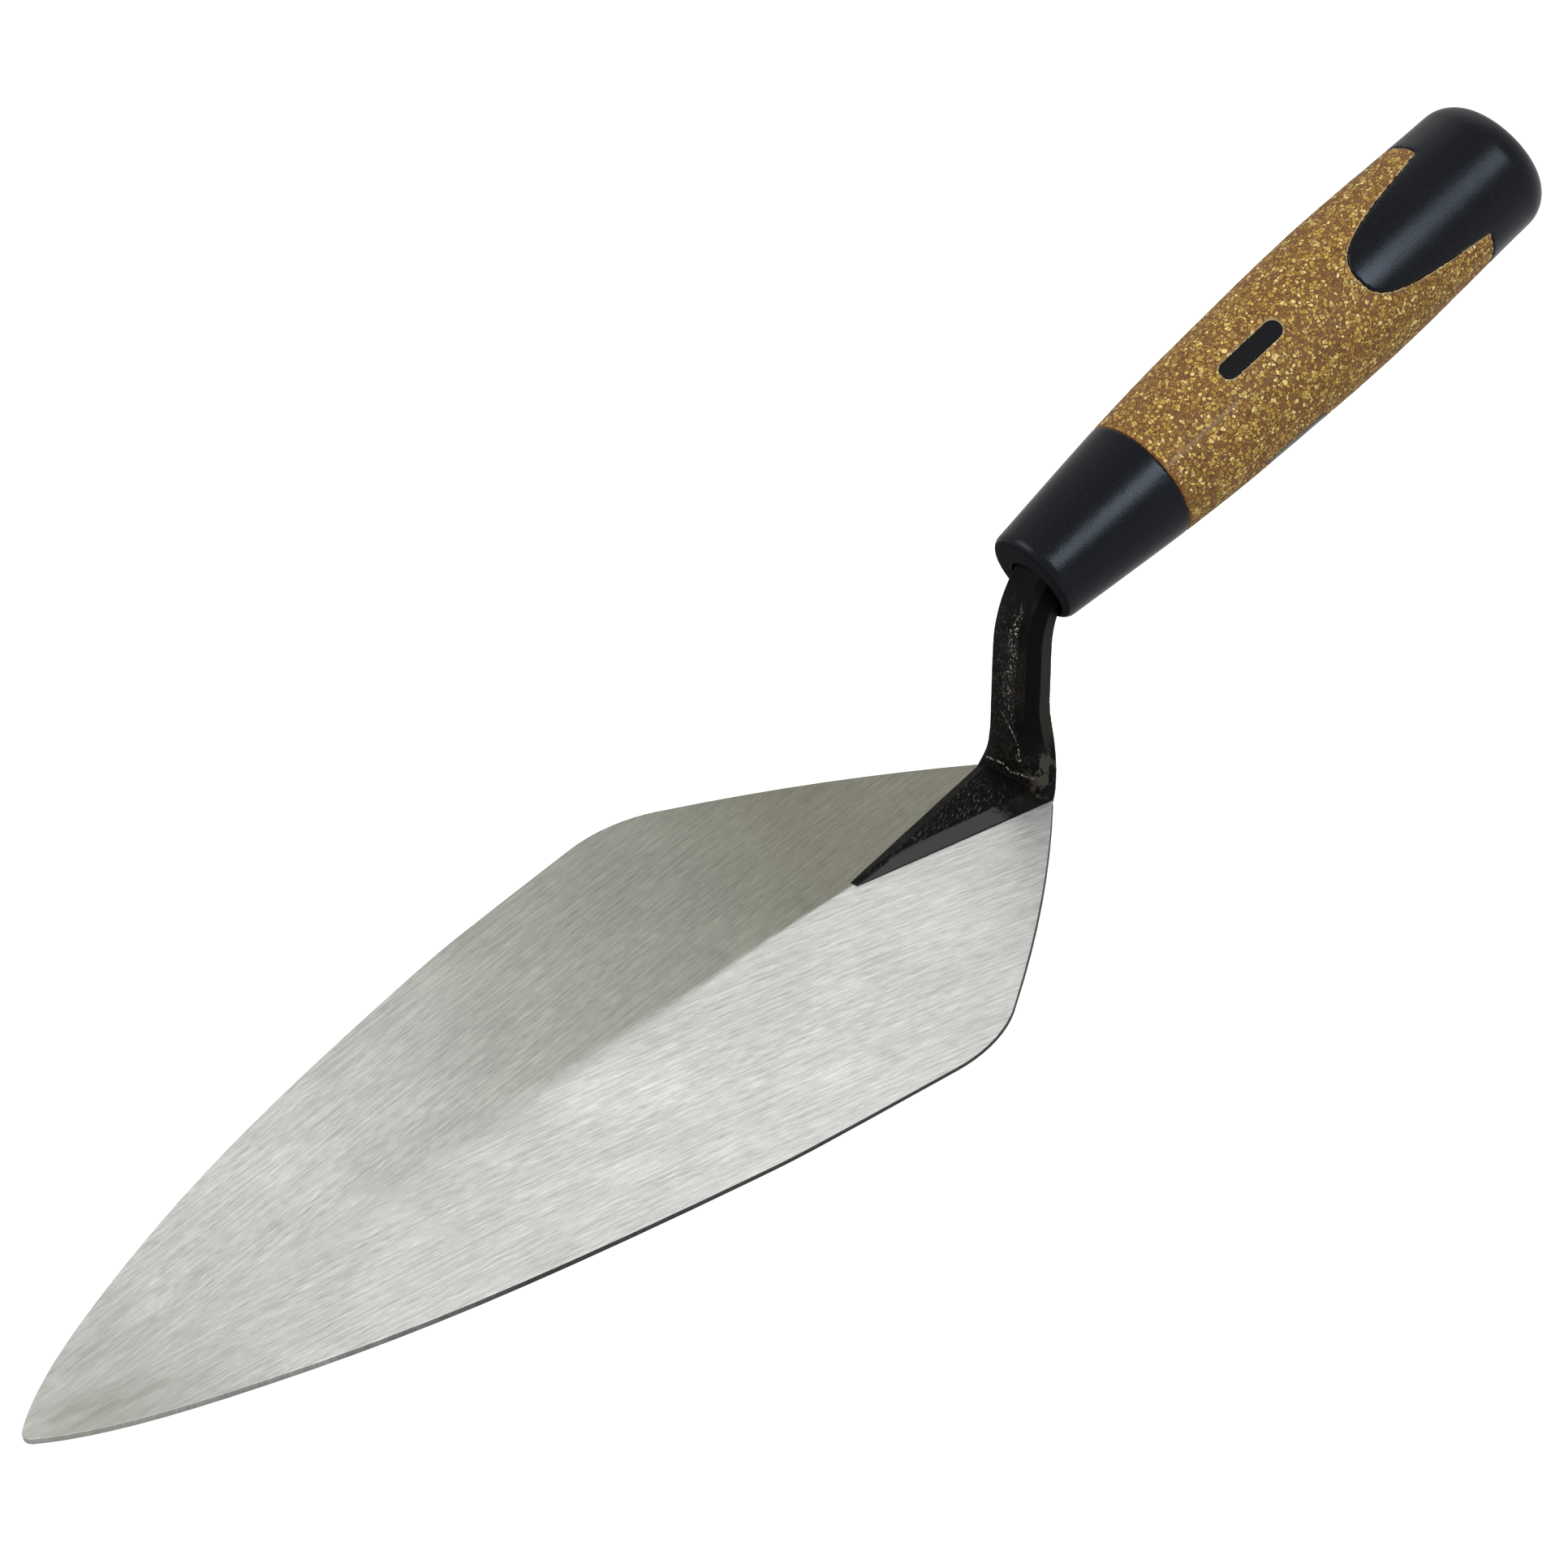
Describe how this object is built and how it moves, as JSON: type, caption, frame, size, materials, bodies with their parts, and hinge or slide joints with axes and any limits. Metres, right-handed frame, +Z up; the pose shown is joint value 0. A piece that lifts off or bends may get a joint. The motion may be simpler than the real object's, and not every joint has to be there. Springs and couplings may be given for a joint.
{
  "type": "brick trowel",
  "caption": "Wide diamond-shaped steel trowel blade with a cranked forged shank and a barrel-shaped cork composite handle with plastic collar and end cap.",
  "frame": {"origin": "under the middle of the overall box, on the plane of the blade's flat underside", "axes": "+X from the toe of the blade towards the butt of the handle, +Z up from the underside to the working face, +Y to the right of a mason holding it with the toe pointing away"},
  "size_m": [0.4514, 0.1366, 0.0947],
  "materials": {
    "blade_steel": "ground and brushed along the blade",
    "forged_steel": "black forging scale with worn edges",
    "black_plastic": "satin, fine grain",
    "core_plastic": "moulded",
    "cork": "cork granules bound in resin, turned smooth"
  },
  "bodies": {
    "root": {"blade": "blade_steel", "shank": "forged_steel", "handle_core": "core_plastic", "front_collar": "black_plastic", "cork_grip": "cork", "end_cap": "black_plastic"}
  },
  "joints": []
}
